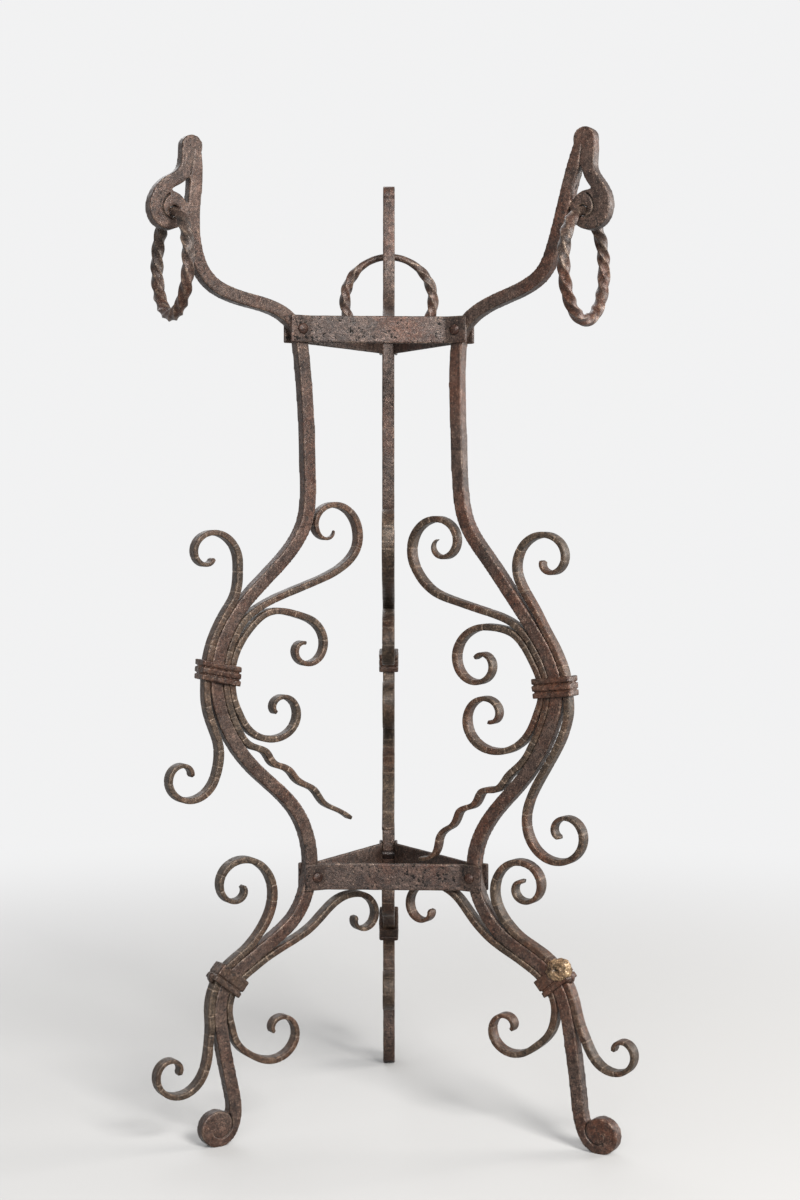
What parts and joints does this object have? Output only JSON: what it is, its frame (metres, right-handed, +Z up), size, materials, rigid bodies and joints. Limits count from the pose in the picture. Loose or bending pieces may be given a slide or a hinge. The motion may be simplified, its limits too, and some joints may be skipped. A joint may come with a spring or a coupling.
{
  "type": "tripod plant stand",
  "caption": "Wrought-iron scrollwork stand on curled feet, with strap frames between bowed legs and a twisted ring hanging from an eye at the top of each arm.",
  "frame": {"origin": "bottom centre of the bounding box, on the floor under the feet", "axes": "+Z up, +Y towards the back leg, +X towards the right leg as seen from the front"},
  "size_m": [0.44, 0.4059, 0.917],
  "materials": {
    "leg_iron": "hand-forged square bar, dark brown-grey patina with a low sheen",
    "scroll_iron": "forged flat bar with chisel ticks, dark patina, worn edges",
    "strap_iron": "pitted flat strap, dark patina",
    "collar_iron": "forged ribbed band, dark patina",
    "rivet_iron": "hammered rivet head, dark patina",
    "ring_iron": "twisted square bar, dark patina, polished high spots"
  },
  "bodies": {
    "stand": {"left_leg": "leg_iron", "left_waist_outer_scroll": "scroll_iron", "left_tendril": "scroll_iron", "left_waist_inner_scroll": "scroll_iron", "left_ankle_outer_scroll": "scroll_iron", "left_ankle_inner_scroll": "scroll_iron", "left_waist_collar": "collar_iron", "left_ankle_collar": "collar_iron", "right_leg": "leg_iron", "right_waist_outer_scroll": "scroll_iron", "right_tendril": "scroll_iron", "right_waist_inner_scroll": "scroll_iron", "right_ankle_outer_scroll": "scroll_iron", "right_ankle_inner_scroll": "scroll_iron", "right_waist_collar": "collar_iron", "right_ankle_collar": "collar_iron", "back_leg": "leg_iron", "back_waist_outer_scroll": "scroll_iron", "back_tendril": "scroll_iron", "back_waist_inner_scroll": "scroll_iron", "back_ankle_outer_scroll": "scroll_iron", "back_ankle_inner_scroll": "scroll_iron", "back_waist_collar": "collar_iron", "back_ankle_collar": "collar_iron", "upper_strap_front": "strap_iron", "upper_strap_left": "strap_iron", "upper_strap_right": "strap_iron", "upper_rivet_left": "rivet_iron", "upper_rivet_right": "rivet_iron", "upper_rivet_back": "rivet_iron", "lower_strap_front": "strap_iron", "lower_strap_left": "strap_iron", "lower_strap_right": "strap_iron", "lower_rivet_left": "rivet_iron", "lower_rivet_right": "rivet_iron", "lower_rivet_back": "rivet_iron"},
    "left_ring": {"ring_left": "ring_iron"},
    "right_ring": {"ring_right": "ring_iron"},
    "back_ring": {"ring_back": "ring_iron"}
  },
  "joints": [
    {"name": "left_ring_swing", "type": "hinge", "parent": "stand", "child": "left_ring", "pos_m": [-0.19589, -0.15545, 0.841], "axis": [-0.4067, 0.9135, 0], "range_deg": [-25, 180]},
    {"name": "right_ring_swing", "type": "hinge", "parent": "stand", "child": "right_ring", "pos_m": [0.16957, -0.14695, 0.843], "axis": [-0.454, -0.891, 0], "range_deg": [-33, 180]},
    {"name": "back_ring_swing", "type": "hinge", "parent": "stand", "child": "back_ring", "pos_m": [-0.0058, 0.1653, 0.842], "axis": [1, 0, 0], "range_deg": [-30, 180]}
  ]
}
